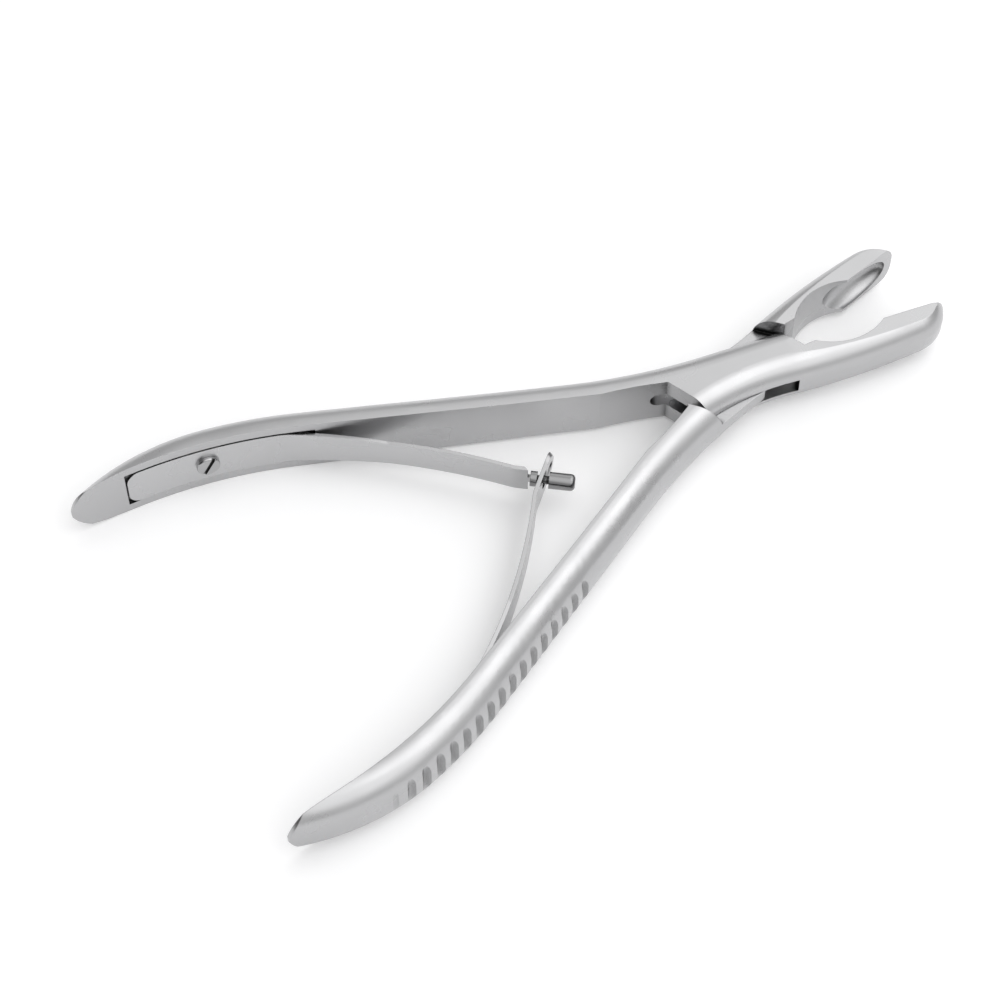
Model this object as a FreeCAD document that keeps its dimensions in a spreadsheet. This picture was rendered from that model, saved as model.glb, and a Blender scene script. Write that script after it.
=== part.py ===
"""Bone rongeur with a box-lock joint and a barrel-and-eye double leaf spring.

Every sub-part is modelled around the middle plane of the instrument and then
raised by half the handles' greatest height, so that they rest on z = 0.
The z axis is the joint's axis, +x points to the jaws, and the jaws are open.
The box half carries the handle on +y; the male half is its mirror outline.
"""
import FreeCAD, Part
import math
import os
import re
import Sketcher

Vector = FreeCAD.Vector
Rotation = FreeCAD.Rotation
Z_AXIS = Vector(0, 0, 1)

# Driving dimensions in millimetres and degrees.
SIZES = [
    ("thickness", 10.7),
    ("closing_angle", 20.5),
    ("handle_width", 5.75),
    ("handle_angle", 24.25),
    ("straight_x", 26.0),
    ("straight_y", 8.0),
    ("bend_x", 80.0),
    ("bend_radius", 95.0),
    ("tail_angle", 2.0),
    ("tip_x", 124.0),
    ("end_angle", 14.0),
    ("end_radius", 48.0),
    ("end_turn", 35.0),
    ("flare_x", 93.0),
    ("flare_half", 6.35),
    ("corner_y", 3.5),
    ("facet_angle", 19.8),
    ("facet_end_x", 9.9),
    ("jaw_facet", 12.7),
    ("flow_angle", 11.0),
    ("flow_y", 6.75),
    ("flow_radius", 120.0),
    ("core_x", 16.0),
    ("core_y", 1.5),
    ("waist_x", 3.5),
    ("waist_y", 5.8),
    ("waist_radius", 50.0),
    ("jaw_slope", 15.1),
    ("jaw_end_slope", 4.2),
    ("jaw_radius", 153.8),
    ("jaw_tip_radius", 7.8),
    ("jaw_tip_turn", 12.0),
    ("jaw_round", 4.4),
    ("handle_round", 5.0),
    ("root_y", 3.2),
    ("root_end_x", 17.2),
    ("root_end_y", 3.4),
    ("scallop_radius", 12.7),
    ("lip_x", 32.2),
    ("rim_gap", 0.12),
    ("jaw_taper_x", 12.0),
    ("jaw_nose_radius", 4.6),
    ("jaw_nose_x", 42.3),
    ("dome_length", 9.0),
    ("dome_start", 0.8),
    ("dome_end", 6.9),
    ("neck_height", 2.9),
    ("lock_clearance", 0.15),
    ("shoulder_back", 12.0),
    ("shoulder_front", 13.0),
    ("slot_back", 15.6),
    ("slot_front", 13.1),
    ("neck_edge_x", 3.5),
    ("neck_edge_run", 5.0),
    ("neck_end_x", 14.2),
    ("neck_end_y", 3.1),
    ("neck_relief", 2.5),
    ("neck_relief_y", 2.0),
    ("pin_radius", 1.75),
    ("pin_clearance", 0.05),
    ("cup_x", 34.8),
    ("cup_half_length", 9.1),
    ("cup_half_height", 4.4),
    ("cup_depth", 3.5),
    ("flute_radius", 1.1),
    ("flute_depth", 0.7),
    ("flute_pitch", 3.5),
    ("flutes_straight", 9),
    ("flutes_bend", 10),
    ("leaf_thickness", 0.8),
    ("leaf_root_angle", 4.0),
    ("leaf_root_height", 8.4),
    ("leaf_root_round", 2.5),
    ("leaf_taper_x", 66.0),
    ("leaf_end_height", 6.0),
    ("leaf_lift_angle", 22.5),
    ("leaf_knee_radius", 15.0),
    ("leaf_knee_angle", 33.0),
    ("leaf_bow_radius", 130.0),
    ("leaf_bow_angle", 51.5),
    ("leaf_tip_angle", 40.0),
    ("leaf_tip_radius", 9.0),
    ("seat_depth", 0.6),
    ("seat_gap", 0.25),
    ("seat_end_angle", 26.5),
    ("tongue_half", 0.7),
    ("tongue_depth", 1.0),
    ("eye_half", 1.1),
    ("eye_inset", 0.2),
    ("eye_reach", 4.6),
    ("eye_tab", 6.0),
    ("collar_radius", 1.5),
    ("collar_length", 1.3),
    ("barrel_neck_radius", 0.8),
    ("barrel_neck_half", 1.15),
    ("barrel_radius", 1.65),
    ("barrel_length", 5.0),
    ("barrel_nose", 0.9),
    ("screw_angle", 13.7),
    ("screw_radius", 1.3),
    ("screw_length", 4.0),
    ("screw_head_radius", 2.3),
    ("screw_head_height", 0.9),
    ("screw_slot_width", 0.7),
    ("screw_slot_depth", 0.4),
    ("screw_slot_turn", 60.0),
]

# Lengths, angles and points that follow from the driving dimensions.
LAYOUT = [
    ("half_height", "thickness / 2"),
    ("facet_end_y", "-(waist_y + waist_radius - sqrt(waist_radius^2 - (facet_end_x - waist_x)^2))"),
    ("corner_x", "-facet_end_x - (corner_y - facet_end_y) * tan(facet_angle)"),
    ("bend_y", "straight_y + (bend_x - straight_x) * tan(handle_angle)"),
    ("corner_radius", "((corner_x + straight_x)^2 + (corner_y - straight_y)^2) / (2 * abs((corner_x + straight_x)"
                      " * sin(handle_angle) + (corner_y - straight_y) * cos(handle_angle)))"),
    ("centre_x", "-bend_x - bend_radius * sin(handle_angle)"),
    ("centre_y", "bend_y - bend_radius * cos(handle_angle)"),
    ("tail_x", "centre_x + bend_radius * sin(tail_angle)"),
    ("tail_y", "centre_y + bend_radius * cos(tail_angle)"),
    ("tip_y", "tail_y + (tail_x + tip_x) * tan(tail_angle)"),
    ("outer_radius", "bend_radius + handle_width"),
    ("end_out_x", "centre_x + outer_radius * sin(end_angle)"),
    ("end_out_y", "centre_y + outer_radius * cos(end_angle)"),
    ("end_stop_x", "end_out_x - end_radius * (sin(end_angle) + sin(end_turn))"),
    ("end_stop_y", "end_out_y - end_radius * (cos(end_angle) - cos(end_turn))"),
    ("bend_out_x", "centre_x + outer_radius * sin(handle_angle)"),
    ("bend_out_y", "centre_y + outer_radius * cos(handle_angle)"),
    ("flow_cross_x", "(bend_out_y + bend_out_x * tan(handle_angle) - flow_y)"
                     " / (tan(handle_angle) - tan(flow_angle))"),
    ("flow_cross_y", "flow_y - flow_cross_x * tan(flow_angle)"),
    ("flow_tangent", "flow_radius * tan((handle_angle - flow_angle) / 2)"),
    ("flow_start_x", "flow_cross_x - flow_tangent * cos(handle_angle)"),
    ("flow_start_y", "flow_cross_y + flow_tangent * sin(handle_angle)"),
    ("flow_stop_x", "flow_cross_x + flow_tangent * cos(flow_angle)"),
    ("flow_stop_y", "flow_cross_y - flow_tangent * sin(flow_angle)"),
    ("flow_end_y", "flow_y - core_x * tan(flow_angle)"),
    ("jaw_root_x", "waist_radius * sin(jaw_slope) - waist_x"),
    ("jaw_root_y", "-waist_y - waist_radius * (1 - cos(jaw_slope))"),
    ("jaw_end_x", "jaw_root_x + jaw_radius * (sin(jaw_slope) - sin(jaw_end_slope))"),
    ("jaw_end_y", "jaw_root_y - jaw_radius * (cos(jaw_end_slope) - cos(jaw_slope))"),
    ("jaw_tip_x", "jaw_end_x + jaw_tip_radius * (sin(jaw_end_slope) + cos(jaw_tip_turn))"),
    ("jaw_tip_y", "jaw_end_y + jaw_tip_radius * (cos(jaw_end_slope) - sin(jaw_tip_turn))"),
    ("rim_angle", "closing_angle / 2"),
    ("lip_y", "-lip_x * tan(rim_angle) - rim_gap / 2"),
    ("face_top_x", "(jaw_facet - face_top_y * sin(facet_angle)) / cos(facet_angle)"),
    ("face_root_x", "(jaw_facet + root_y * sin(facet_angle)) / cos(facet_angle)"),
    ("face_far_y", "lip_y - (face_far_x - lip_x) * tan(rim_angle)"),
    ("shoulder_angle", "facet_angle + closing_angle"),
    ("flare_middle_x", "-(straight_x + flare_x) / 2"),
    ("flare_rise", "flare_half - half_height"),
    ("flare_radius", "((flare_x - straight_x)^2 + flare_rise^2) / (4 * flare_rise)"),
    ("dome_radius", "(dome_length^2 + (dome_end - dome_start)^2) / (2 * (dome_end - dome_start))"),
    ("slot_half", "neck_height / 2 + lock_clearance"),
    ("seat_radius", "bend_radius + seat_depth"),
    ("seat_start_angle", "leaf_root_angle - seat_gap / seat_radius * 180 / pi"),
    ("leaf_inner", "seat_radius - leaf_thickness"),
    ("leaf_middle", "seat_radius - leaf_thickness / 2"),
    ("leaf_root_x", "centre_x + leaf_middle * sin(leaf_root_angle)"),
    ("leaf_lift_x", "centre_x + leaf_middle * sin(leaf_lift_angle)"),
    ("leaf_lift_y", "centre_y + leaf_middle * cos(leaf_lift_angle)"),
    ("leaf_knee_x", "leaf_lift_x + leaf_knee_radius * (sin(leaf_knee_angle) - sin(leaf_lift_angle))"),
    ("leaf_knee_y", "leaf_lift_y - leaf_knee_radius * (cos(leaf_lift_angle) - cos(leaf_knee_angle))"),
    ("leaf_bow_x", "leaf_knee_x + leaf_bow_radius * (sin(leaf_bow_angle) - sin(leaf_knee_angle))"),
    ("leaf_bow_y", "leaf_knee_y - leaf_bow_radius * (cos(leaf_knee_angle) - cos(leaf_bow_angle))"),
    ("leaf_turn_x", "leaf_bow_x + leaf_tip_radius * (sin(leaf_bow_angle) - sin(leaf_tip_angle))"),
    ("leaf_turn_y", "leaf_bow_y - leaf_tip_radius * (cos(leaf_tip_angle) - cos(leaf_bow_angle))"),
    ("cross_x", "leaf_turn_x + leaf_turn_y / tan(leaf_tip_angle)"),
    ("collar_back", "barrel_neck_half + collar_length"),
    ("leaf_stop_x", "cross_x - (collar_back + leaf_thickness) * cos(leaf_tip_angle)"),
    ("screw_base", "sqrt(leaf_inner^2 - screw_head_radius^2)"),
]

# Places outside the metal where cutting outlines close, and the little that keeps
# a half circle's centre determinate or a cut clear of the face it meets.
FAR = [
    ("face_top_y", 14.0),
    ("face_far_x", 55.0),
    ("far_height", 20.0),
    ("far_width", 300.0),
    ("hair", 0.001),
]

PLAIN_NAMES = {alias for alias, _ in SIZES + FAR}
DERIVED_NAMES = {alias for alias, _ in LAYOUT}

document = FreeCAD.newDocument("BoneRongeur")


def new_sheet(name, rows):
    """One row per size: its name, and its number or the formula it follows from."""
    sheet = document.addObject("Spreadsheet::Sheet", name)
    for row, (alias, content) in enumerate(rows, start=1):
        sheet.set(f"A{row}", alias)
        sheet.set(f"B{row}", content)
        sheet.setAlias(f"B{row}", alias)
    document.recompute()
    return sheet


def bound(formula, own_names=frozenset()):
    """The formula with every size written as a cell of its sheet, apart from a sheet's own names."""
    def cell(word):
        name = word[0]
        if name in own_names:
            return name
        if name in PLAIN_NAMES:
            return "Sizes." + name
        return "Layout." + name if name in DERIVED_NAMES else name
    return re.sub(r"[a-z]\w*", cell, formula)


new_sheet("Sizes", [(alias, str(number)) for alias, number in SIZES + FAR])
layout = new_sheet("Layout", [(alias, "=" + bound(formula, DERIVED_NAMES)) for alias, formula in LAYOUT])


def value(formula):
    """The number a formula has now."""
    return float(layout.evalExpression(bound(formula)))


def bind(thing, path, formula):
    thing.setExpression(path, bound(formula))


def signed(formula, sign):
    return formula if sign > 0 else f"-({formula})"


def new_body(label):
    body = document.addObject("PartDesign::Body", label)
    body.Label = label
    bind(body, "Placement.Base.z", "flare_half")
    return body


def plane_of(body, role):
    return next(item for item in body.Origin.OriginFeatures if item.Role == role)


def new_sketch(body, name, role="XY_Plane"):
    sketch = body.newObject("Sketcher::SketchObject", name)
    sketch.AttachmentSupport = [(plane_of(body, role), "")]
    sketch.MapMode = "FlatFace"
    return sketch


def offset(thing, x_formula, y_formula, z_formula="0", turn="0"):
    """Move an attached thing within its plane and turn it about the plane's normal."""
    thing.AttachmentOffset = FreeCAD.Placement(Vector(0, 0, 0), Rotation(Z_AXIS, 1))
    bind(thing, "AttachmentOffset.Base.x", x_formula)
    bind(thing, "AttachmentOffset.Base.y", y_formula)
    bind(thing, "AttachmentOffset.Base.z", z_formula)
    bind(thing, "AttachmentOffset.Rotation.Angle", f"({turn}) * 1 deg")


def arc_centre(start, end, radius, side):
    """Centre of the short arc from start to end; side is +1 when it lies to the left."""
    chord = end - start
    half = chord.Length / 2
    across = Vector(-chord.y, chord.x, 0) / chord.Length
    return (start + end) / 2 + across * side * math.sqrt(max(radius**2 - half**2, 0))


def arc_between(start, end, radius, side):
    centre = arc_centre(start, end, radius, side)
    angles = [math.atan2(point.y - centre.y, point.x - centre.x) for point in (start, end)]
    if side < 0:
        angles.reverse()
    circle = Part.Circle(centre, Z_AXIS, radius)
    return Part.ArcOfCircle(circle, angles[0], angles[1])


def draw(sketch, corners, mirror=1):
    """Draw a closed outline; each corner is (x, y) or (x, y, radius, side) of the arc that leaves it.

    Every corner's place and every arc's radius is bound to the sheet. mirror = -1 flips y.
    """
    points = [Vector(value(corner[0]), mirror * value(corner[1]), 0) for corner in corners]
    first = sketch.GeometryCount
    starts = []
    for index, corner in enumerate(corners):
        start = points[index]
        end = points[(index + 1) % len(points)]
        if len(corner) == 2:
            sketch.addGeometry(Part.LineSegment(start, end), False)
            starts.append((first + index, 1, 2))
        else:
            side = corner[3] * mirror
            sketch.addGeometry(arc_between(start, end, value(corner[2]), side), False)
            starts.append((first + index, 1, 2) if side > 0 else (first + index, 2, 1))
    for index, corner in enumerate(corners):
        piece, start_end, _ = starts[index]
        before, _, last_end = starts[index - 1]
        sketch.addConstraint(Sketcher.Constraint("Coincident", before, last_end, piece, start_end))
    for index, corner in enumerate(corners):
        piece, start_end, _ = starts[index]
        for kind, formula, number in (
            ("DistanceX", corner[0], points[index].x),
            ("DistanceY", signed(corner[1], mirror), points[index].y),
        ):
            added = sketch.addConstraint(Sketcher.Constraint(kind, -1, 1, piece, start_end, number))
            bind(sketch, f"Constraints[{added}]", formula)
        if len(corner) == 4:
            added = sketch.addConstraint(Sketcher.Constraint("Radius", piece, value(corner[2])))
            bind(sketch, f"Constraints[{added}]", corner[2])
    return points


def draw_circle(sketch, x_formula, y_formula, radius_formula):
    centre = Vector(value(x_formula), value(y_formula), 0)
    piece = sketch.addGeometry(Part.Circle(centre, Z_AXIS, value(radius_formula)), False)
    for kind, formula in (("DistanceX", x_formula), ("DistanceY", y_formula)):
        added = sketch.addConstraint(Sketcher.Constraint(kind, -1, 1, piece, 3, value(formula)))
        bind(sketch, f"Constraints[{added}]", formula)
    added = sketch.addConstraint(Sketcher.Constraint("Radius", piece, value(radius_formula)))
    bind(sketch, f"Constraints[{added}]", radius_formula)


def extrude(body, kind, name, sketch, length_formula, symmetric=True, reverse=False):
    """Pad or pocket a sketch, either both ways from its plane or one way."""
    feature = body.newObject("PartDesign::" + kind, name)
    feature.Profile = sketch
    feature.SideType = "Symmetric" if symmetric else "One side"
    feature.Type = "Length"
    feature.Reversed = reverse
    bind(feature, "Length", length_formula)
    document.recompute()
    body.Tip = feature
    return feature


def half_outline():
    """Plan of one half's blank, clockwise from the box corner, handle on +y.

    The blank is too wide on the handle's inner side and too long, so that the rounding
    of its outer edges has room; the handle's face and end are cut later.
    """
    return [
        ("corner_x", "corner_y"),
        ("end_stop_x", "end_stop_y", "end_radius", -1),
        ("end_out_x", "end_out_y", "outer_radius", -1),
        ("bend_out_x", "bend_out_y"),
        ("flow_start_x", "flow_start_y", "flow_radius", 1),
        ("flow_stop_x", "flow_stop_y"),
        ("core_x", "flow_end_y"),
        ("core_x", "-core_y"),
        ("jaw_tip_x", "jaw_tip_y", "jaw_tip_radius", -1),
        ("jaw_end_x", "jaw_end_y", "jaw_radius", -1),
        ("jaw_root_x", "jaw_root_y", "waist_radius", 1),
        ("-facet_end_x", "facet_end_y"),
    ]


# Segments of that outline whose top and bottom edges are rounded over.
HANDLE_SEGMENTS = (1, 2, 3, 4, 5)
JAW_SEGMENTS = (8, 9, 10)


def edges_over(shape, outlines):
    """Names of the edges above and below the given pieces of a plan."""
    names = []
    for number, edge in enumerate(shape.Edges, start=1):
        middle_parameter = (edge.FirstParameter + edge.LastParameter) / 2
        middle = edge.valueAt(middle_parameter)
        level = abs(edge.tangentAt(middle_parameter).z) < 0.5
        flat = Part.Vertex(middle.x, middle.y, 0)
        if level and any(outline.distToShape(flat)[0] < 0.01 for outline in outlines):
            names.append(f"Edge{number}")
    return names


def round_over(body, name, plan, segments, radius_formula):
    """Round the top and bottom edges over some segments of the bar's plan."""
    outlines = [plan.Geometry[index].toShape() for index in segments]
    base = body.Tip
    fillet = body.newObject("PartDesign::Fillet", name)
    fillet.Base = (base, edges_over(base.Shape, outlines))
    bind(fillet, "Radius", radius_formula)
    document.recompute()
    body.Tip = fillet


def cut_flare(body):
    """Side view: the joint and jaw keep the joint's thickness, and the handle grows taller."""
    sketch = new_sketch(body, "FlarePlan", "XZ_Plane")
    for up in (1, -1):
        draw(sketch, [
            ("face_far_x", "half_height"),
            ("-straight_x", "half_height", "flare_radius", -1),
            ("flare_middle_x", "half_height + flare_rise / 2", "flare_radius", 1),
            ("-flare_x", "flare_half"),
            ("-tip_x - far_height", "flare_half"),
            ("-tip_x - far_height", "far_height"),
            ("face_far_x", "far_height"),
        ], up)
    document.recompute()
    extrude(body, "Pocket", "Flare", sketch, "far_width")


def make_bar(body, mirror):
    """Handle, joint and jaw as one blank of half-round section, before the faces are cut."""
    plan = new_sketch(body, "BarPlan")
    draw(plan, half_outline(), mirror)
    document.recompute()
    extrude(body, "Pad", "Bar", plan, "3 * flare_half")
    cut_flare(body)
    round_over(body, "HandleRound", plan, HANDLE_SEGMENTS, "handle_round")
    round_over(body, "JawRound", plan, JAW_SEGMENTS, "jaw_round")


def cut_handle_face(body, mirror):
    """The flat inner side of the handle, straight and then bent towards its end."""
    sketch = new_sketch(body, "HandleFacePlan")
    draw(sketch, [
        ("corner_x", "corner_y", "corner_radius", 1),
        ("-straight_x", "straight_y"),
        ("-bend_x", "bend_y", "bend_radius", 1),
        ("tail_x", "tail_y"),
        ("tail_x - far_height", "tail_y + far_height * tan(tail_angle)"),
        ("tail_x - far_height", "corner_y"),
    ], mirror)
    document.recompute()
    extrude(body, "Pocket", "HandleFace", sketch, "2 * thickness")


def cut_jaw_face(body, mirror):
    """Joint facet, jaw root, scalloped throat and straight cutting rim."""
    sketch = new_sketch(body, "JawFacePlan")
    draw(sketch, [
        ("face_top_x", "face_top_y"),
        ("face_root_x", "-root_y"),
        ("root_end_x", "-root_end_y", "scallop_radius", 1),
        ("lip_x", "lip_y"),
        ("face_far_x", "face_far_y"),
        ("face_far_x", "face_top_y"),
    ], mirror)
    document.recompute()
    extrude(body, "Pocket", "JawFace", sketch, "2 * thickness")


def cut_jaw_nose(body):
    """Side view: the jaw thins to a round nose."""
    sketch = new_sketch(body, "NosePlan", "XZ_Plane")
    draw(sketch, [
        ("jaw_taper_x", "half_height"),
        ("jaw_nose_x", "jaw_nose_radius", "jaw_nose_radius + hair", -1),
        ("jaw_nose_x", "-jaw_nose_radius"),
        ("jaw_taper_x", "-half_height"),
        ("jaw_taper_x", "-far_height"),
        ("face_far_x", "-far_height"),
        ("face_far_x", "far_height"),
        ("jaw_taper_x", "far_height"),
    ])
    document.recompute()
    extrude(body, "Pocket", "JawNose", sketch, "far_width")


def cut_tip_dome(body, mirror):
    """Round the handle's end as half a dome, turned about a line along its inner face."""
    sketch = new_sketch(body, "DomePlan")
    offset(sketch, "-tip_x", signed("tip_y", mirror), turn=signed("-tail_angle", mirror))
    draw(sketch, [
        ("-dome_length", "0"),
        ("0", "0"),
        ("0", "dome_start", "dome_radius", -1),
        ("dome_length", "dome_end"),
        ("dome_length", "far_height"),
        ("-dome_length", "far_height"),
    ])
    document.recompute()
    groove = body.newObject("PartDesign::Groove", "TipDome")
    groove.Profile = sketch
    groove.ReferenceAxis = (sketch, ["H_Axis"])
    groove.Angle = 360
    document.recompute()
    body.Tip = groove


def cut_block(body, name, mirror, back, front, bottom, height):
    """Cut a straight channel across the joint, between two planes at the shoulders' angle."""
    block = body.newObject("PartDesign::SubtractiveBox", name)
    block.AttachmentSupport = [(plane_of(body, "XY_Plane"), "")]
    block.MapMode = "FlatFace"
    turn = signed("-shoulder_angle", mirror)
    offset(block, f"-{back} * cos({turn}) + far_height * sin({turn})",
           f"-{back} * sin({turn}) - far_height * cos({turn})", bottom, turn)
    bind(block, "Length", f"{back} + {front}")
    bind(block, "Width", "2 * far_height")
    bind(block, "Height", height)
    document.recompute()
    body.Tip = block


def cut_pin_hole(body, radius_formula):
    sketch = new_sketch(body, "PinHolePlan")
    draw_circle(sketch, "0", "0", radius_formula)
    document.recompute()
    extrude(body, "Pocket", "PinHole", sketch, "2 * thickness")


def cut_cup(body, mirror):
    """The oval spoon in the jaw's face, its long way along the cutting rim."""
    cup = body.newObject("PartDesign::SubtractiveEllipsoid", "Cup")
    cup.AttachmentSupport = [(plane_of(body, "XY_Plane"), "")]
    cup.MapMode = "FlatFace"
    offset(cup, "cup_x", signed("-cup_x * tan(rim_angle)", mirror), turn=signed("-rim_angle", mirror))
    bind(cup, "Radius1", "cup_half_height")
    bind(cup, "Radius2", "cup_half_length")
    bind(cup, "Radius3", "cup_depth")
    document.recompute()
    body.Tip = cup


def cut_flutes(body, mirror):
    """Grip flutes along the outside of the handle, on its straight part and round its bend."""
    sketch = new_sketch(body, "FlutePlan")
    offset(sketch, "bend_out_x", signed("bend_out_y", mirror), turn=signed("-handle_angle", mirror))
    draw_circle(sketch, "0", signed("flute_radius - flute_depth", mirror), "flute_radius")
    bend = new_sketch(body, "BendCentre")
    offset(bend, "centre_x", signed("centre_y", mirror))
    document.recompute()
    flute = extrude(body, "Pocket", "Flute", sketch, "2 * thickness")
    straight = body.newObject("PartDesign::LinearPattern", "FlutesStraight")
    straight.Originals = [flute]
    straight.Direction = (sketch, ["H_Axis"])
    straight.Mode = "Spacing"
    bind(straight, "Offset", "flute_pitch")
    bind(straight, "Occurrences", "flutes_straight")
    document.recompute()
    body.Tip = straight
    around = body.newObject("PartDesign::PolarPattern", "FlutesBend")
    around.Originals = [flute]
    around.Axis = (bend, ["N_Axis"])
    around.Mode = "Spacing"
    bind(around, "Offset", "flute_pitch / outer_radius * 180 / pi * 1 deg")
    around.Reversed = mirror < 0
    bind(around, "Occurrences", "flutes_bend")
    document.recompute()
    body.Tip = around


def cut_leaf_seat(body, mirror):
    """Shallow seat in the handle's inner face that holds the leaf's root and its screw."""
    sketch = new_sketch(body, "SeatPlan")
    draw(sketch, [
        ("centre_x + seat_radius * sin(seat_start_angle)", "centre_y + seat_radius * cos(seat_start_angle)",
         "seat_radius", -1),
        ("centre_x + seat_radius * sin(seat_end_angle)", "centre_y + seat_radius * cos(seat_end_angle)"),
        ("centre_x + leaf_inner * sin(seat_end_angle)", "centre_y + leaf_inner * cos(seat_end_angle)",
         "leaf_inner", 1),
        ("centre_x + leaf_inner * sin(seat_start_angle)", "centre_y + leaf_inner * cos(seat_start_angle)"),
    ], mirror)
    document.recompute()
    extrude(body, "Pocket", "LeafSeat", sketch, "leaf_root_height + 2 * seat_gap")
    hole = body.newObject("PartDesign::SubtractiveCylinder", "ScrewSeat")
    place_radial(body, hole, mirror, "leaf_inner")
    bind(hole, "Radius", "screw_radius")
    bind(hole, "Height", "screw_length")
    document.recompute()
    body.Tip = hole


def make_half(label, mirror):
    body = new_body(label)
    make_bar(body, mirror)
    cut_jaw_face(body, mirror)
    cut_jaw_nose(body)
    cut_handle_face(body, mirror)
    cut_tip_dome(body, mirror)
    cut_cup(body, mirror)
    return body


def make_box_half():
    """Female half: a slot through the joint takes the other half's neck."""
    body = make_half("box_half", 1)
    sketch = new_sketch(body, "SlotPlan", "XZ_Plane")
    sketch.AttachmentOffset = FreeCAD.Placement(Vector(0, 0, 0), Rotation(Vector(0, 1, 0), 1))
    bind(sketch, "AttachmentOffset.Rotation.Angle", "-shoulder_angle * 1 deg")
    draw(sketch, [
        ("slot_half - slot_back", "-slot_half"),
        ("slot_front", "-slot_half"),
        ("slot_front", "slot_half"),
        ("slot_half - slot_back", "slot_half", "slot_half + hair", 1),
    ])
    document.recompute()
    extrude(body, "Pocket", "NeckSlot", sketch, "2 * far_height")
    cut_pin_hole(body, "pin_radius")
    cut_flutes(body, 1)
    cut_leaf_seat(body, 1)
    return body


def make_male_half():
    """Male half: shoulders cut back above and below leave the neck in the middle."""
    body = make_half("male_half", -1)
    cut_block(body, "ShoulderTop", -1, "shoulder_back", "shoulder_front", "neck_height / 2", "thickness")
    cut_block(body, "ShoulderBottom", -1, "shoulder_back", "shoulder_front",
              "-neck_height / 2 - thickness", "thickness")
    sketch = new_sketch(body, "NeckEdgePlan")
    draw(sketch, [
        ("neck_edge_x", "-face_top_y"),
        ("face_root_x + neck_edge_run", "-face_top_y"),
        ("neck_end_x", "neck_end_y"),
        ("neck_edge_x", "-waist_y"),
    ])
    draw(sketch, [
        ("corner_x - neck_relief", "-neck_relief_y"),
        ("corner_x + neck_relief", "-neck_relief_y"),
        ("neck_relief - facet_end_x", "face_top_y"),
        ("corner_x - neck_relief", "face_top_y"),
    ])
    document.recompute()
    extrude(body, "Pocket", "NeckEdge", sketch, "neck_height + hair")
    cut_pin_hole(body, "pin_radius + pin_clearance")
    cut_flutes(body, -1)
    cut_leaf_seat(body, -1)
    return body


def make_pin():
    body = new_body("joint_pin")
    sketch = new_sketch(body, "PinPlan")
    draw_circle(sketch, "0", "0", "pin_radius")
    document.recompute()
    extrude(body, "Pad", "Pin", sketch, "thickness")
    return body


def beside(x_formula, y_formula, angle, side):
    """A point half the leaf's thickness to one side of its middle line."""
    sign = "+" if side > 0 else "-"
    return (f"{x_formula} {sign} leaf_thickness / 2 * sin({angle})",
            f"{y_formula} {sign} leaf_thickness / 2 * cos({angle})")


def leaf_plan(reach):
    """Plan of a leaf on the +y handle, from its root along the handle and out to the crossing."""
    end_x = f"cross_x + ({reach}) * cos(leaf_tip_angle)"
    end_y = f"-({reach}) * sin(leaf_tip_angle)"
    stations = [
        ("centre_x + leaf_middle * sin(tail_angle)", "centre_y + leaf_middle * cos(tail_angle)",
         "tail_angle", "leaf_middle", 1),
        ("leaf_lift_x", "leaf_lift_y", "leaf_lift_angle", "leaf_knee_radius", 1),
        ("leaf_knee_x", "leaf_knee_y", "leaf_knee_angle", "leaf_bow_radius", 1),
        ("leaf_bow_x", "leaf_bow_y", "leaf_bow_angle", "leaf_tip_radius", -1),
        ("leaf_turn_x", "leaf_turn_y", "leaf_tip_angle", None, 0),
        (end_x, end_y, "leaf_tip_angle", None, 0),
    ]
    outer = []
    for x_formula, y_formula, angle, radius, curl in stations:
        corner = beside(x_formula, y_formula, angle, 1)
        if radius:
            sign = "+" if curl > 0 else "-"
            corner += (f"{radius} {sign} leaf_thickness / 2", -curl)
        outer.append(corner)
    inner = []
    for index in range(len(stations) - 1, -1, -1):
        x_formula, y_formula, angle = stations[index][:3]
        corner = beside(x_formula, y_formula, angle, -1)
        radius, curl = stations[index - 1][3:] if index else (None, 0)
        if radius:
            sign = "-" if curl > 0 else "+"
            corner += (f"{radius} {sign} leaf_thickness / 2", curl)
        inner.append(corner)
    return outer + inner


def make_leaf(label, mirror, reach, end_shape):
    """Spring leaf: bent strip, trimmed in side view to its tapering outline."""
    body = new_body(label)
    sketch = new_sketch(body, "StripPlan")
    draw(sketch, leaf_plan(reach), mirror)
    document.recompute()
    extrude(body, "Pad", "Strip", sketch, "leaf_root_height")
    side = new_sketch(body, "StripSide", "XZ_Plane")
    draw(side, [
        ("leaf_root_x - far_height", "-far_height"),
        ("face_far_x", "-far_height"),
        ("face_far_x", "far_height"),
        ("leaf_root_x - far_height", "far_height"),
    ])
    draw(side, [
        ("leaf_root_x", "leaf_root_height / 2 - leaf_root_round"),
        ("leaf_root_x", "leaf_root_round - leaf_root_height / 2", "leaf_root_round", 1),
        ("leaf_root_x + leaf_root_round", "-leaf_root_height / 2"),
        ("leaf_lift_x", "-leaf_root_height / 2"),
        ("-leaf_taper_x", "-leaf_end_height / 2"),
    ] + end_shape + [
        ("-leaf_taper_x", "leaf_end_height / 2"),
        ("leaf_lift_x", "leaf_root_height / 2"),
        ("leaf_root_x + leaf_root_round", "leaf_root_height / 2", "leaf_root_round", 1),
    ])
    document.recompute()
    extrude(body, "Pocket", "StripTrim", side, "far_width")
    hole = body.newObject("PartDesign::SubtractiveCylinder", "ScrewHole")
    place_radial(body, hole, mirror, "leaf_middle - 2 * leaf_thickness")
    bind(hole, "Radius", "screw_radius")
    bind(hole, "Height", "4 * leaf_thickness")
    document.recompute()
    body.Tip = hole
    return body


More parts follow.
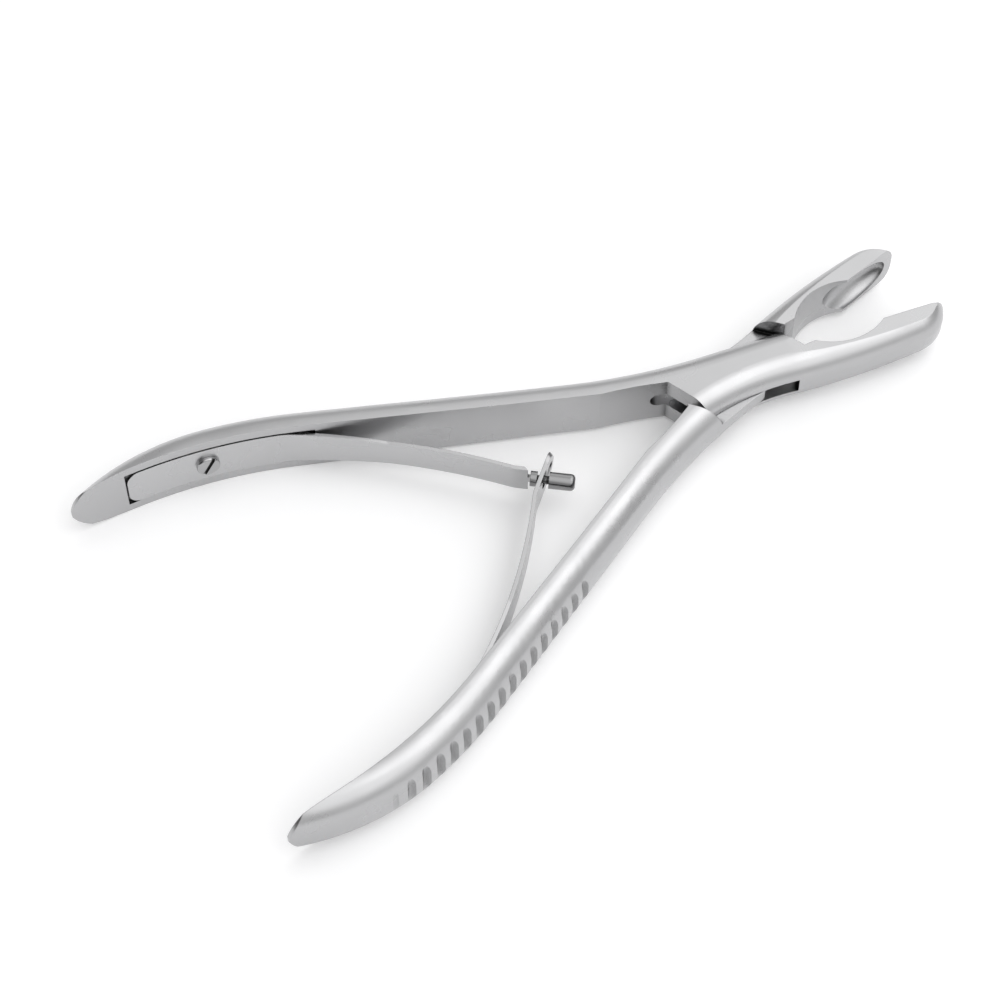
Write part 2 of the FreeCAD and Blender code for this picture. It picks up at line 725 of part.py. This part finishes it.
def place_radial(body, cylinder, mirror, start_radius):
    """Attach a cylinder so that it points outwards from the handle's bend at the screw."""
    cylinder.AttachmentSupport = [(plane_of(body, "XZ_Plane"), "")]
    cylinder.MapMode = "FlatFace"
    cylinder.AttachmentOffset = FreeCAD.Placement(Vector(0, 0, 0), Rotation(Vector(0, 1, 0), 1))
    bind(cylinder, "AttachmentOffset.Base.x", f"centre_x + ({start_radius}) * sin(screw_angle)")
    bind(cylinder, "AttachmentOffset.Base.z", signed(f"-centre_y - ({start_radius}) * cos(screw_angle)", mirror))
    turn = "180 - screw_angle" if mirror > 0 else "screw_angle"
    bind(cylinder, "AttachmentOffset.Rotation.Angle", f"({turn}) * 1 deg")


def tongue_end():
    """Side outline of the leaf that ends in a narrow tongue inside the barrel's collar."""
    return [
        ("leaf_stop_x", "-leaf_end_height / 2"),
        ("leaf_stop_x", "-tongue_half"),
        ("0", "-tongue_half"),
        ("0", "tongue_half"),
        ("leaf_stop_x", "tongue_half"),
        ("leaf_stop_x", "leaf_end_height / 2"),
    ]


def eye_end():
    """Side outline of the leaf whose round-ended tab carries the eye."""
    tab_x = "cross_x + eye_tab * cos(leaf_tip_angle) - leaf_end_height / 2"
    return [
        (tab_x, "-leaf_end_height / 2", "leaf_end_height / 2 + hair", 1),
        (tab_x, "leaf_end_height / 2"),
    ]


def make_barrel_leaf():
    return make_leaf("barrel_leaf", 1, "tongue_depth - collar_back", tongue_end())


def make_eye_leaf():
    body = make_leaf("eye_leaf", -1, "eye_tab", eye_end())
    sketch = new_sketch(body, "EyeSide", "XZ_Plane")
    near = "cross_x - eye_inset"
    far = "cross_x + (eye_reach - eye_half) * cos(leaf_tip_angle)"
    draw(sketch, [
        (near, "-eye_half"),
        (far, "-eye_half", "eye_half + hair", 1),
        (far, "eye_half"),
        (near, "eye_half", "eye_half + hair", 1),
    ])
    document.recompute()
    extrude(body, "Pocket", "Eye", sketch, "far_width")
    return body


def make_barrel():
    """Turned stud: a collar on the tongue, a neck through the eye and a round-nosed barrel."""
    body = new_body("spring_barrel")
    sketch = new_sketch(body, "BarrelProfile")
    draw(sketch, [
        ("-collar_back", "0"),
        ("barrel_neck_half + barrel_length", "0"),
        ("barrel_neck_half + barrel_length", "barrel_radius - barrel_nose", "barrel_nose", 1),
        ("barrel_neck_half + barrel_length - barrel_nose", "barrel_radius"),
        ("barrel_neck_half", "barrel_radius"),
        ("barrel_neck_half", "barrel_neck_radius"),
        ("-barrel_neck_half", "barrel_neck_radius"),
        ("-barrel_neck_half", "collar_radius"),
        ("-collar_back", "collar_radius"),
    ])
    document.recompute()
    turned = body.newObject("PartDesign::Revolution", "Barrel")
    turned.Profile = sketch
    turned.ReferenceAxis = (sketch, ["H_Axis"])
    turned.Angle = 360
    document.recompute()
    body.Tip = turned
    tongue = new_sketch(body, "TongueSlot")
    draw(tongue, [
        ("-collar_back - hair", "-leaf_thickness / 2"),
        ("tongue_depth - collar_back", "-leaf_thickness / 2"),
        ("tongue_depth - collar_back", "leaf_thickness / 2"),
        ("-collar_back - hair", "leaf_thickness / 2"),
    ])
    document.recompute()
    extrude(body, "Pocket", "Tongue", tongue, "2 * tongue_half")
    bind(body, "Placement.Base.x", "cross_x")
    body.Placement.Rotation = Rotation(1, 2, 3)
    bind(body, "Placement.Rotation.Yaw", "-leaf_tip_angle * 1 deg")
    bind(body, "Placement.Rotation.Pitch", "0 deg")
    bind(body, "Placement.Rotation.Roll", "0 deg")
    return body


def make_screw(label, mirror):
    """Slotted screw that holds a leaf's root; modelled along z, head up, then turned into the handle."""
    body = new_body(label)
    head_plan = new_sketch(body, "HeadPlan")
    draw_circle(head_plan, "0", "0", "screw_head_radius")
    document.recompute()
    head = extrude(body, "Pad", "Head", head_plan, "screw_head_height", symmetric=False)
    rounding = body.newObject("PartDesign::Fillet", "HeadRounding")
    top = [f"Edge{number}" for number, edge in enumerate(head.Shape.Edges, start=1)
           if edge.isClosed() and edge.CenterOfMass.z > value("screw_head_height") / 2]
    rounding.Base = (head, top)
    bind(rounding, "Radius", "screw_head_height / 2")
    document.recompute()
    body.Tip = rounding
    slot = new_sketch(body, "SlotPlan")
    offset(slot, "0", "0", "screw_head_height", "screw_slot_turn")
    draw(slot, [
        ("-far_height", "-screw_slot_width / 2"),
        ("far_height", "-screw_slot_width / 2"),
        ("far_height", "screw_slot_width / 2"),
        ("-far_height", "screw_slot_width / 2"),
    ])
    document.recompute()
    extrude(body, "Pocket", "Slot", slot, "screw_slot_depth", symmetric=False)
    shank_plan = new_sketch(body, "ShankPlan")
    draw_circle(shank_plan, "0", "0", "screw_radius")
    document.recompute()
    extrude(body, "Pad", "Shank", shank_plan, "screw_length", symmetric=False, reverse=True)
    bind(body, "Placement.Base.x", "centre_x + screw_base * sin(screw_angle)")
    bind(body, "Placement.Base.y", signed("centre_y + screw_base * cos(screw_angle)", mirror))
    body.Placement.Rotation = Rotation(1, 2, 3)
    bind(body, "Placement.Rotation.Yaw", signed("-screw_angle", mirror) + " * 1 deg")
    bind(body, "Placement.Rotation.Pitch", "0 deg")
    bind(body, "Placement.Rotation.Roll", "90 deg" if mirror > 0 else "-90 deg")
    return body


def check_and_write(bodies):
    """Stop on any broken object, then write one STEP file per sub-part."""
    document.recompute()
    for item in document.Objects:
        if "Invalid" in item.State or "Error" in item.State:
            raise RuntimeError(f"{item.Name} ({item.Label}) is {item.State}")
    os.makedirs("parts", exist_ok=True)
    for body in bodies:
        if body.Shape.isNull() or not body.Shape.isValid():
            raise RuntimeError(f"{body.Label} has no valid shape")
        body.Shape.exportStep(f"parts/{body.Label}.step")
        box = body.Shape.BoundBox
        print(body.Label, len(body.Shape.Solids), round(body.Shape.Volume, 2),
              [round(number, 2) for number in (box.XMin, box.YMin, box.ZMin, box.XMax, box.YMax, box.ZMax)])


check_and_write([
    make_box_half(),
    make_male_half(),
    make_pin(),
    make_barrel_leaf(),
    make_eye_leaf(),
    make_barrel(),
    make_screw("barrel_leaf_screw", 1),
    make_screw("eye_leaf_screw", -1),
])
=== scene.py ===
"""Looks of the bone rongeur: satin steel, bending spring leaves, a plain studio and the camera."""
import math

import bmesh
import bpy
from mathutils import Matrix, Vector


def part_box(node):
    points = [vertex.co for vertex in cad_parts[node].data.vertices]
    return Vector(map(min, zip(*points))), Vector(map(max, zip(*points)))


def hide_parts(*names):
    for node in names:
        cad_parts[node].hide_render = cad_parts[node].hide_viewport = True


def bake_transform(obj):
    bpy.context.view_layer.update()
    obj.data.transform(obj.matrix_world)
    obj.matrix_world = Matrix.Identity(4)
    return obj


MM = 0.001

# Camera, found from the photograph: where it looks, from how far and at what angle.
CAMERA_TARGET = Vector((-53.95, 0.40, 6.35)) * MM
CAMERA_DISTANCE = 479.7 * MM
CAMERA_AZIMUTH = -32.6
CAMERA_ELEVATION = 53.81
CAMERA_LENS = 90.93
CAMERA_SENSOR = 36.0

# How often a leaf is cut across so that it can bend, and the angle from which an edge stays sharp.
LEAF_CUTS = 60
SHARP_ANGLE = 30

# Soft studio: the plain sky, and lobes of it that are brighter or darker,
# each given by its middle, the angles where it starts and is full, and its strength.
SKY_LEVEL = 0.62
SKY_LOBES = [
    ((0.10, -0.35, 0.93), 55, 20, 0.90),
    ((0.72, 0.36, 0.59), 36, 14, 0.80),
    ((0.32, -0.90, 0.25), 45, 15, 0.18),
    ((-0.85, 0.15, 0.50), 50, 20, -0.55),
]
FLOOR_COLOUR = (0.88, 0.88, 0.885, 1.0)
FLOOR_LIFT = 0.17

# Painted shade in the steel's hollows: how far round a point its hollows are looked for, the openness at
# which the painted shade is deepest and where it ends, and the share of the steel's tone that is left in
# it.
PAINTED_SHADE_REACH = 1.6 * MM
PAINTED_SHADE_OPENNESS = (0.78, 0.97)
PAINTED_SHADE_SHARE = 0.10

# How far an edge is softened for the light that it catches, and the distance from the joint's
# axis within which nothing is softened, because the pin's ends are ground flush there.
EDGE_SOFTENING = 0.18 * MM
FLUSH_RADIUS = 2.5 * MM

# Changes of polish and blasted grain, in cells per metre, and the height of the grain.
CLOUD_SCALE = 90.0
GRAIN_SCALE = 5200.0
GRAIN_HEIGHT = 0.02 * MM

# The Mix node's two inputs and its result, for colours and for vectors.
MIX_COLOUR = (6, 7, 2)
MIX_VECTOR = (4, 5, 1)

# Floor: half its side in metres, and how far it lies below the object.
FLOOR_HALF_SIDE = 3.0
FLOOR_GAP = 0.02 * MM


def link(piece):
    bpy.context.scene.collection.objects.link(piece)
    return piece


def set_inputs(node, **values):
    for name, number in values.items():
        node.inputs[name.replace("_", " ")].default_value = number
    return node


class Shader:
    """A node material or world under construction."""

    def __init__(self, owner):
        owner.use_nodes = True
        self.tree = owner.node_tree
        self.tree.nodes.clear()

    def add(self, kind, **settings):
        node = self.tree.nodes.new(kind)
        for name, setting in settings.items():
            setattr(node, name, setting)
        return node

    def join(self, source, target):
        self.tree.links.new(source, target)

    def math(self, operation, first, second):
        """A Math node; each side is a socket or a number."""
        node = self.add("ShaderNodeMath", operation=operation)
        for socket, side in zip(node.inputs, (first, second)):
            if isinstance(side, (int, float)):
                socket.default_value = side
            else:
                self.join(side, socket)
        return node.outputs[0]

    def noise(self, coordinates, scale, detail=2.0, stretch=(1, 1, 1)):
        """Noise in object space; scale is in cells per metre, stretch lengthens them along x, y or z."""
        mapping = self.add("ShaderNodeMapping")
        mapping.inputs["Scale"].default_value = [scale / part for part in stretch]
        self.join(coordinates, mapping.inputs["Vector"])
        noise = self.add("ShaderNodeTexNoise")
        noise.inputs["Scale"].default_value = 1.0
        noise.inputs["Detail"].default_value = detail
        self.join(mapping.outputs["Vector"], noise.inputs["Vector"])
        return noise.outputs["Fac"]

    def from_joint(self, coordinates):
        """Distance from the joint's axis."""
        flat = self.add("ShaderNodeVectorMath", operation="MULTIPLY")
        flat.inputs[1].default_value = (1, 1, 0)
        self.join(coordinates, flat.inputs[0])
        length = self.add("ShaderNodeVectorMath", operation="LENGTH")
        self.join(flat.outputs["Vector"], length.inputs[0])
        return length.outputs["Value"]

    def spread(self, source, low, high, low_result, high_result):
        """Map low..high of a socket to low_result..high_result."""
        node = self.add("ShaderNodeMapRange", interpolation_type="SMOOTHSTEP")
        self.join(source, node.inputs["Value"])
        set_inputs(node, From_Min=low, From_Max=high, To_Min=low_result, To_Max=high_result)
        return node.outputs["Result"]


def steel(name, shade, roughness, variation, grain_depth):
    """Stainless steel with a blasted grain, slight changes of polish, painted shade in its hollows and
    worn edges.
    """
    material = bpy.data.materials.new(name)
    shader = Shader(material)
    place = shader.add("ShaderNodeTexCoord").outputs["Object"]
    surface = shader.add("ShaderNodeBsdfPrincipled")
    surface.inputs["Metallic"].default_value = 1.0
    # Painted shade: ambient occlusion darkens the base colour in hollows, grooves and gaps.
    painted_shade_ao = shader.add("ShaderNodeAmbientOcclusion", samples=8, only_local=True)
    set_inputs(painted_shade_ao, Distance=PAINTED_SHADE_REACH)
    colour = shader.add("ShaderNodeMix", data_type="RGBA")
    shader.join(shader.spread(painted_shade_ao.outputs["AO"], *PAINTED_SHADE_OPENNESS, 0.0, 1.0), colour.inputs["Factor"])
    dark, light, result = MIX_COLOUR
    colour.inputs[dark].default_value = [shade * PAINTED_SHADE_SHARE] * 3 + [1.0]
    colour.inputs[light].default_value = (shade, shade, shade * 1.012, 1.0)
    shader.join(colour.outputs[result], surface.inputs["Base Color"])
    cloud = shader.noise(place, CLOUD_SCALE, detail=3.0)
    shader.join(shader.spread(cloud, 0.3, 0.7, roughness - variation, roughness + variation),
                surface.inputs["Roughness"])
    grain = shader.noise(place, GRAIN_SCALE, detail=2.0)
    bump = shader.add("ShaderNodeBump")
    set_inputs(bump, Strength=grain_depth, Distance=GRAIN_HEIGHT)
    shader.join(grain, bump.inputs["Height"])
    edge = shader.add("ShaderNodeBevel", samples=4)
    set_inputs(edge, Radius=EDGE_SOFTENING)
    worn = shader.add("ShaderNodeMix", data_type="VECTOR")
    shader.join(shader.math("GREATER_THAN", shader.from_joint(place), FLUSH_RADIUS), worn.inputs["Factor"])
    flush, soft, result = MIX_VECTOR
    shader.join(shader.add("ShaderNodeNewGeometry").outputs["Normal"], worn.inputs[flush])
    shader.join(edge.outputs["Normal"], worn.inputs[soft])
    shader.join(worn.outputs[result], bump.inputs["Normal"])
    shader.join(bump.outputs["Normal"], surface.inputs["Normal"])
    output = shader.add("ShaderNodeOutputMaterial")
    shader.join(surface.outputs["BSDF"], output.inputs["Surface"])
    return material


def dress(node, material):
    """Give a CAD node its material."""
    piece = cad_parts[node]
    for place in piece.material_slots:
        place.material = material
    return piece


def bending_copy(node, material):
    """Stand-in for a flexing spring piece, cut across finely enough to bend smoothly."""
    low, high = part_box(node)
    grid = bmesh.new()
    grid.from_mesh(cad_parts[node].data)
    for step in range(1, LEAF_CUTS):
        everything = grid.verts[:] + grid.edges[:] + grid.faces[:]
        bmesh.ops.bisect_plane(grid, geom=everything, plane_co=low.lerp(high, step / LEAF_CUTS),
                               plane_no=(1, 0, 0), dist=1e-7)
    mesh = bpy.data.meshes.new(node + "_bending")
    grid.to_mesh(mesh)
    grid.free()
    if "custom_normal" in mesh.attributes:
        mesh.attributes.remove(mesh.attributes["custom_normal"])
    mesh.shade_smooth()
    mesh.set_sharp_from_angle(angle=math.radians(SHARP_ANGLE))
    mesh.materials.clear()
    mesh.materials.append(material)
    piece = link(bpy.data.objects.new(node + "_bending", mesh))
    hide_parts(node)
    return piece


def make_leaves(material, barrel_painted_shade_material):
    """Stand-ins for the two leaves and the barrel, cut across so that they can bend, each baked into
    place.
    """
    for node in ("barrel_leaf", "eye_leaf"):
        leaf = bending_copy(node, material)
        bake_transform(leaf)
    barrel = bending_copy("spring_barrel", barrel_painted_shade_material)
    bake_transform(barrel)


def make_floor():
    mesh = bpy.data.meshes.new("floor")
    signs = ((-1, -1), (1, -1), (1, 1), (-1, 1))
    corners = [(FLOOR_HALF_SIDE * x, FLOOR_HALF_SIDE * y, -FLOOR_GAP) for x, y in signs]
    mesh.from_pydata(corners, [], [(0, 1, 2, 3)])
    material = bpy.data.materials.new("floor_white")
    shader = Shader(material)
    paper = shader.add("ShaderNodeBsdfDiffuse")
    paper.inputs["Color"].default_value = FLOOR_COLOUR
    glow = shader.add("ShaderNodeEmission")
    rays = shader.add("ShaderNodeLightPath")
    seen = shader.math("ADD", rays.outputs["Is Camera Ray"], rays.outputs["Is Glossy Ray"])
    shader.join(shader.math("MULTIPLY", seen, FLOOR_LIFT), glow.inputs["Strength"])
    both = shader.add("ShaderNodeAddShader")
    shader.join(paper.outputs[0], both.inputs[0])
    shader.join(glow.outputs[0], both.inputs[1])
    output = shader.add("ShaderNodeOutputMaterial")
    shader.join(both.outputs[0], output.inputs["Surface"])
    mesh.materials.append(material)
    link(bpy.data.objects.new("floor", mesh))


def make_world():
    """A soft studio sky of grey with brighter and darker areas; the camera sees plain white."""
    world = bpy.data.worlds.new("studio")
    bpy.context.scene.world = world
    shader = Shader(world)
    direction = shader.add("ShaderNodeTexCoord").outputs["Generated"]
    level = SKY_LEVEL
    for middle, start, full, strength in SKY_LOBES:
        dot = shader.add("ShaderNodeVectorMath", operation="DOT_PRODUCT")
        dot.inputs[1].default_value = Vector(middle).normalized()
        shader.join(direction, dot.inputs[0])
        lobe = shader.spread(dot.outputs["Value"], math.cos(math.radians(start)),
                             math.cos(math.radians(full)), 0.0, strength)
        level = shader.math("ADD", lobe, level)
    studio = shader.add("ShaderNodeBackground")
    shader.join(level, studio.inputs["Color"])
    plain = shader.add("ShaderNodeBackground")
    plain.inputs["Color"].default_value = (1, 1, 1, 1)
    choice = shader.add("ShaderNodeMixShader")
    shader.join(shader.add("ShaderNodeLightPath").outputs["Is Camera Ray"], choice.inputs["Fac"])
    shader.join(studio.outputs[0], choice.inputs[1])
    shader.join(plain.outputs[0], choice.inputs[2])
    output = shader.add("ShaderNodeOutputWorld")
    shader.join(choice.outputs[0], output.inputs["Surface"])


def make_lamp(name, direction, distance, side, radiance):
    """A square softbox that faces the joint; radiance is its brightness, where 1 is white."""
    lamp = bpy.data.lights.new(name, "AREA")
    lamp.shape = "SQUARE"
    lamp.size = side
    lamp.energy = radiance * math.pi * side ** 2
    piece = link(bpy.data.objects.new(name, lamp))
    away = Vector(direction).normalized()
    piece.location = CAMERA_TARGET + away * distance
    piece.rotation_euler = away.to_track_quat("Z", "Y").to_euler()


def make_camera():
    azimuth = math.radians(CAMERA_AZIMUTH)
    elevation = math.radians(CAMERA_ELEVATION)
    back = Vector((math.sin(azimuth) * math.cos(elevation),
                   -math.cos(azimuth) * math.cos(elevation),
                   math.sin(elevation)))
    data = bpy.data.cameras.new("camera")
    data.lens = CAMERA_LENS
    data.sensor_width = CAMERA_SENSOR
    camera = link(bpy.data.objects.new("camera", data))
    camera.location = CAMERA_TARGET + back * CAMERA_DISTANCE
    camera.rotation_euler = back.to_track_quat("Z", "Y").to_euler()
    bpy.context.scene.camera = camera


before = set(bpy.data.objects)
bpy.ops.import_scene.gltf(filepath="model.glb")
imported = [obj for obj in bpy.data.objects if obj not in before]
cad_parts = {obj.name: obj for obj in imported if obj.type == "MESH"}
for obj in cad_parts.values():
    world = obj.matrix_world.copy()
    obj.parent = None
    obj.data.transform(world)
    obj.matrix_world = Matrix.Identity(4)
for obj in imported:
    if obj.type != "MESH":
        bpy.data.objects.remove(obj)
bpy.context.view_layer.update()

satin = steel("satin_steel", shade=0.485, roughness=0.30, variation=0.05, grain_depth=0.10)
spring = steel("spring_steel", shade=0.52, roughness=0.26, variation=0.04, grain_depth=0.05)
polished = steel("polished_steel", shade=0.42, roughness=0.16, variation=0.03, grain_depth=0.02)
# Painted shade: a darker copy of the polished steel for the barrel, standing in for the dark reflections
# it shows.
polished_painted_shade = steel("polished_steel_painted_shade", shade=0.27, roughness=0.12, variation=0.02, grain_depth=0.02)
for half in ("box_half", "male_half", "joint_pin"):
    dress(half, satin)
for screw in ("barrel_leaf_screw", "eye_leaf_screw"):
    dress(screw, polished)
make_leaves(spring, polished_painted_shade)

make_floor()
make_world()
make_lamp("key_softbox", (0.45, -0.20, 0.86), 0.65, 0.45, 0.6)
make_camera()
bpy.context.scene.view_settings.view_transform = "Standard"
